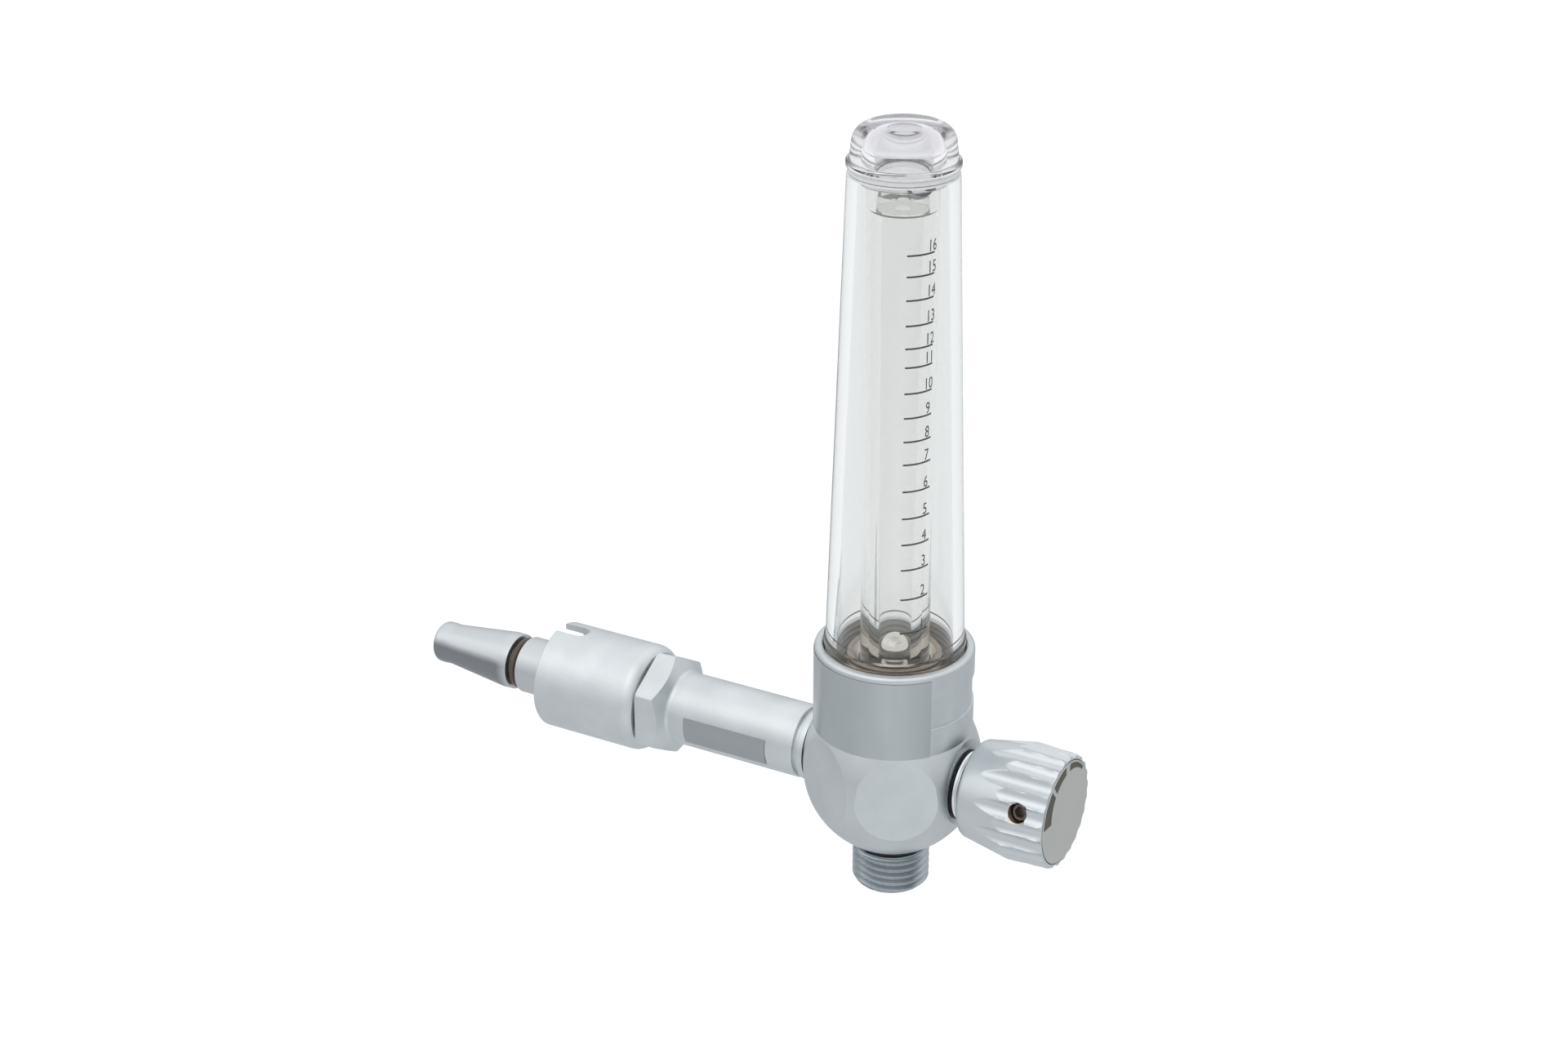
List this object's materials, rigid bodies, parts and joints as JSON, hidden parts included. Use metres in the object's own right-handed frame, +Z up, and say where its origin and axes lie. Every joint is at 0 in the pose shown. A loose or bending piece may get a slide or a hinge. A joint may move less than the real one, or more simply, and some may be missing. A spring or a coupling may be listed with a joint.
{
  "type": "oxygen flowmeter",
  "caption": "Wall oxygen flowmeter: ball in a clear tapered tube under a clear cover, turned body, wall probe, threaded outlet and fluted needle valve knob.",
  "frame": {"origin": "on the probe's axis, in the plane of the index collar's front rim, where the wall terminal's face meets it", "axes": "+X from the wall through the body to the knob, +Z up the flow tube, +Y to the back, away from the reader of the scale"},
  "size_m": [0.1359, 0.0328, 0.1453],
  "materials": {
    "body_metal": "satin, turned",
    "knob_metal": "satin pearl plating",
    "outlet_metal": "satin, turned thread",
    "label_film": "bare metallised film",
    "polished_steel": "polished",
    "spring_steel": "oiled",
    "black_steel": "blackened",
    "bonnet_chrome": "bright chrome",
    "seat_brass": "turned, dull",
    "filter_bronze": "sintered",
    "clear_plastic": "clear, moulded",
    "white_plastic": "moulded",
    "dark_rubber": "matt",
    "amber_rubber": "matt",
    "brown_rubber": "matt",
    "grey_rubber": "matt"
  },
  "bodies": {
    "meter": {"flowmeter_body": "body_metal", "body_label": "label_film", "stem_seal": "dark_rubber", "inlet_stem": "body_metal", "stem_label": "label_film", "inlet_filter": "filter_bronze", "index_collar": "body_metal", "collar_circlip": "spring_steel", "probe_nose": "polished_steel", "probe_o_ring": "amber_rubber", "outlet_nipple": "outlet_metal", "outlet_seal": "dark_rubber", "tube_seat": "seat_brass", "lower_tube_seal": "brown_rubber", "cover_gasket": "brown_rubber", "outer_cover": "clear_plastic", "cap_gasket": "clear_plastic", "cover_cap": "clear_plastic", "tube_cushion": "grey_rubber", "flow_tube": "clear_plastic", "float_stop": "clear_plastic", "valve_seat": "white_plastic", "spindle_seal": "dark_rubber", "bonnet_seal": "dark_rubber", "valve_bonnet": "bonnet_chrome"},
    "float": {"float_ball": "polished_steel"},
    "spindle": {"valve_spindle": "polished_steel"},
    "knob": {"control_knob": "knob_metal", "set_screw": "black_steel", "knob_cap": "knob_metal"}
  },
  "joints": [
    {"name": "float_rise", "type": "slide", "parent": "meter", "child": "float", "axis": [0, 0, 1], "range_m": [0, 0.079]},
    {"name": "spindle_slide", "type": "slide", "parent": "meter", "child": "spindle", "axis": [1, 0, 0], "range_m": [0, 0.0015]},
    {"name": "knob_turn", "type": "hinge", "parent": "spindle", "child": "knob", "pos_m": [0.0726, 0, 0], "axis": [1, 0, 0], "range_deg": [0, 720]}
  ],
  "couplings": [
    {"joint": "spindle_slide", "follows": "knob_turn", "m_per_rad": 0.00011936}
  ]
}
